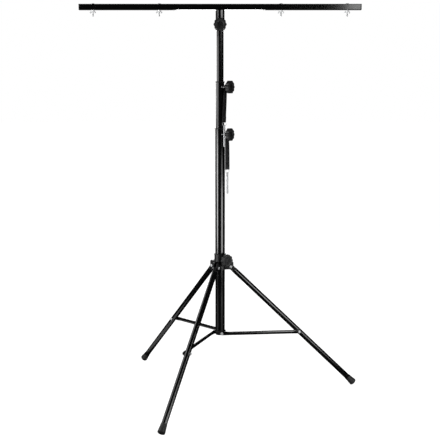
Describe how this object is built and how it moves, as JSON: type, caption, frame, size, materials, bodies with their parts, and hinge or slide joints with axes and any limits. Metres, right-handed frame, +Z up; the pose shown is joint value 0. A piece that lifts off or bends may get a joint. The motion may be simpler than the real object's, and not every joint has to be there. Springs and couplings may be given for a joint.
{
  "type": "lighting t bar stand",
  "caption": "Telescopic lighting stand with folding tripod legs, a sliding clamp hub, and a square crossbar with wing-nut bolts for hanging light fixtures.",
  "frame": {"origin": "on the floor, under the centre of the bounding box", "axes": "+Z up along the mast, +X along the crossbar towards its right end, -Y towards the side that the socket knob faces"},
  "size_m": [1.219, 1.0778, 1.699],
  "materials": {
    "black_paint": "satin black powder coat on steel tube",
    "black_plastic": "moulded black nylon",
    "knob_plastic": "dark grey moulded grip",
    "rubber": "matt black rubber",
    "zinc_steel": "bright zinc plated",
    "chrome": "polished",
    "webbing": "woven black webbing"
  },
  "bodies": {
    "column": {"column_tube": "black_paint", "column_guide_bush": "black_plastic", "base_hub": "black_paint", "base_pivot_bolt_1": "zinc_steel", "base_pivot_bolt_2": "zinc_steel", "base_pivot_bolt_3": "zinc_steel"},
    "column_knob": {"column_clamp_knob": "knob_plastic"},
    "mid_section": {"mid_tube": "black_paint", "mid_guide_bush": "black_plastic", "mid_tube_end_plug": "black_plastic"},
    "mid_knob": {"mid_clamp_knob": "knob_plastic"},
    "top_section": {"top_tube": "black_paint", "top_tube_end_plug": "black_plastic"},
    "crossbar": {"t_bar_tube": "black_paint", "t_bar_cap_left": "black_plastic", "t_bar_cap_right": "black_plastic", "t_bar_socket": "black_paint", "accessory_bolt_1": "zinc_steel", "accessory_bolt_2": "zinc_steel", "accessory_bolt_3": "zinc_steel", "accessory_bolt_4": "zinc_steel"},
    "socket_knob": {"socket_clamp_knob": "knob_plastic"},
    "hub": {"leg_hub": "black_paint", "hub_pivot_bolt_1": "zinc_steel", "hub_pivot_bolt_2": "zinc_steel", "hub_pivot_bolt_3": "zinc_steel"},
    "hub_knob": {"hub_clamp_knob": "knob_plastic"},
    "wing_nut_1": {"wing_nut_1": "zinc_steel"},
    "wing_nut_2": {"wing_nut_2": "zinc_steel"},
    "wing_nut_3": {"wing_nut_3": "zinc_steel"},
    "wing_nut_4": {"wing_nut_4": "zinc_steel"},
    "leg_1": {"leg_tube_1": "black_paint", "leg_head_1": "black_plastic", "rubber_foot_1": "rubber", "leg_bolt_1": "zinc_steel"},
    "strut_arm_1": {"strut_1": "black_paint", "strut_nut_1": "zinc_steel"},
    "leg_2": {"leg_tube_2": "black_paint", "leg_head_2": "black_plastic", "rubber_foot_2": "rubber", "leg_bolt_2": "zinc_steel"},
    "strut_arm_2": {"strut_2": "black_paint", "strut_nut_2": "zinc_steel"},
    "leg_3": {"leg_tube_3": "black_paint", "leg_head_3": "black_plastic", "rubber_foot_3": "rubber", "leg_bolt_3": "zinc_steel"},
    "strut_arm_3": {"strut_3": "black_paint", "strut_nut_3": "zinc_steel"},
    "mid_strap": {"mid_strap": "webbing"},
    "mid_ring": {"mid_pin_ring": "chrome"},
    "mid_pin": {"mid_locking_pin": "chrome"},
    "column_strap": {"column_strap": "webbing"},
    "column_ring": {"column_pin_ring": "chrome"},
    "column_pin": {"column_locking_pin": "chrome"}
  },
  "joints": [
    {"name": "mid_slide", "type": "slide", "parent": "column", "child": "mid_section", "axis": [0, 0, 1], "range_m": [-0.145, 0.48]},
    {"name": "top_slide", "type": "slide", "parent": "mid_section", "child": "top_section", "axis": [0, 0, 1], "range_m": [-0.2, 0.48]},
    {"name": "crossbar_swivel", "type": "hinge", "parent": "top_section", "child": "crossbar", "pos_m": [-0.00947, 0.0426, 1.6081], "axis": [0, 0, 1], "continuous": true},
    {"name": "hub_slide", "type": "slide", "parent": "column", "child": "hub", "axis": [0, 0, 1], "range_m": [0, 0.4883]},
    {"name": "socket_knob_turn", "type": "hinge", "parent": "crossbar", "child": "socket_knob", "pos_m": [-0.00947, 0.0426, 1.6081], "axis": [0, -1, 0], "continuous": true},
    {"name": "mid_knob_turn", "type": "hinge", "parent": "mid_section", "child": "mid_knob", "pos_m": [-0.00947, 0.0426, 1.3471], "axis": [0.866, -0.5, 0], "continuous": true},
    {"name": "column_knob_turn", "type": "hinge", "parent": "column", "child": "column_knob", "pos_m": [-0.00947, 0.0426, 1.1446], "axis": [0.866, -0.5, 0], "continuous": true},
    {"name": "hub_knob_turn", "type": "hinge", "parent": "hub", "child": "hub_knob", "pos_m": [-0.00947, 0.0426, 0.59637], "axis": [0.617, -0.7869, 0], "continuous": true},
    {"name": "wing_nut_1_turn", "type": "hinge", "parent": "crossbar", "child": "wing_nut_1", "pos_m": [-0.55047, 0.0426, 1.6714], "axis": [0, 0, 1], "continuous": true},
    {"name": "wing_nut_2_turn", "type": "hinge", "parent": "crossbar", "child": "wing_nut_2", "pos_m": [-0.26847, 0.0426, 1.6714], "axis": [0, 0, 1], "continuous": true},
    {"name": "wing_nut_3_turn", "type": "hinge", "parent": "crossbar", "child": "wing_nut_3", "pos_m": [0.24953, 0.0426, 1.6714], "axis": [0, 0, 1], "continuous": true},
    {"name": "wing_nut_4_turn", "type": "hinge", "parent": "crossbar", "child": "wing_nut_4", "pos_m": [0.53153, 0.0426, 1.6714], "axis": [0, 0, 1], "continuous": true},
    {"name": "leg_1_fold", "type": "hinge", "parent": "hub", "child": "leg_1", "pos_m": [0.03607, 0.04908, 0.56437], "axis": [-0.1409, 0.99, 0], "range_deg": [0, 45.8]},
    {"name": "strut_1_fold", "type": "hinge", "parent": "column", "child": "strut_arm_1", "pos_m": [-0.00551, 0.04316, 0.268], "axis": [0.1409, -0.99, 0], "range_deg": [0, 84.18]},
    {"name": "leg_2_fold", "type": "hinge", "parent": "hub", "child": "leg_2", "pos_m": [-0.02662, -0.00009, 0.56437], "axis": [0.9278, -0.373, 0], "range_deg": [0, 45.8]},
    {"name": "strut_2_fold", "type": "hinge", "parent": "column", "child": "strut_arm_2", "pos_m": [-0.01096, 0.03888, 0.268], "axis": [-0.9278, 0.373, 0], "range_deg": [0, 84.18]},
    {"name": "leg_3_fold", "type": "hinge", "parent": "hub", "child": "leg_3", "pos_m": [-0.03785, 0.07879, 0.56437], "axis": [-0.7869, -0.617, 0], "range_deg": [0, 45.8]},
    {"name": "strut_3_fold", "type": "hinge", "parent": "column", "child": "strut_arm_3", "pos_m": [-0.01194, 0.04574, 0.268], "axis": [0.7869, 0.617, 0], "range_deg": [0, 84.18]},
    {"name": "mid_strap_swing", "type": "hinge", "parent": "mid_section", "child": "mid_strap", "pos_m": [-0.00947, 0.0426, 1.3471], "axis": [-0.866, 0.5, 0], "range_deg": [0, 20], "deforming": ["mid_strap"]},
    {"name": "mid_ring_swing", "type": "hinge", "parent": "mid_strap", "child": "mid_ring", "pos_m": [0.00881, 0.0156, 1.1986], "axis": [-0.8281, -0.5606, 0], "range_deg": [-2, 3]},
    {"name": "mid_pin_swing", "type": "hinge", "parent": "mid_ring", "child": "mid_pin", "pos_m": [0.00881, 0.0156, 1.1806], "axis": [-0.8281, -0.5606, 0], "range_deg": [-2, 3]},
    {"name": "column_strap_swing", "type": "hinge", "parent": "column", "child": "column_strap", "pos_m": [-0.00947, 0.0426, 1.1446], "axis": [-0.866, 0.5, 0], "range_deg": [0, 20], "deforming": ["column_strap"]},
    {"name": "column_ring_swing", "type": "hinge", "parent": "column_strap", "child": "column_ring", "pos_m": [0.02215, 0.02545, 0.9956], "axis": [-0.7869, -0.617, 0], "range_deg": [-2, 4.5]},
    {"name": "column_pin_swing", "type": "hinge", "parent": "column_ring", "child": "column_pin", "pos_m": [0.02215, 0.02545, 0.9776], "axis": [-0.7869, -0.617, 0], "range_deg": [-2, 60]}
  ],
  "couplings": [
    {"joint": "leg_1_fold", "follows": "hub_slide", "rad_per_m": 1.637},
    {"joint": "strut_1_fold", "follows": "hub_slide", "rad_per_m": 3.0086},
    {"joint": "leg_2_fold", "follows": "hub_slide", "rad_per_m": 1.637},
    {"joint": "strut_2_fold", "follows": "hub_slide", "rad_per_m": 3.0086},
    {"joint": "leg_3_fold", "follows": "hub_slide", "rad_per_m": 1.637},
    {"joint": "strut_3_fold", "follows": "hub_slide", "rad_per_m": 3.0086}
  ]
}
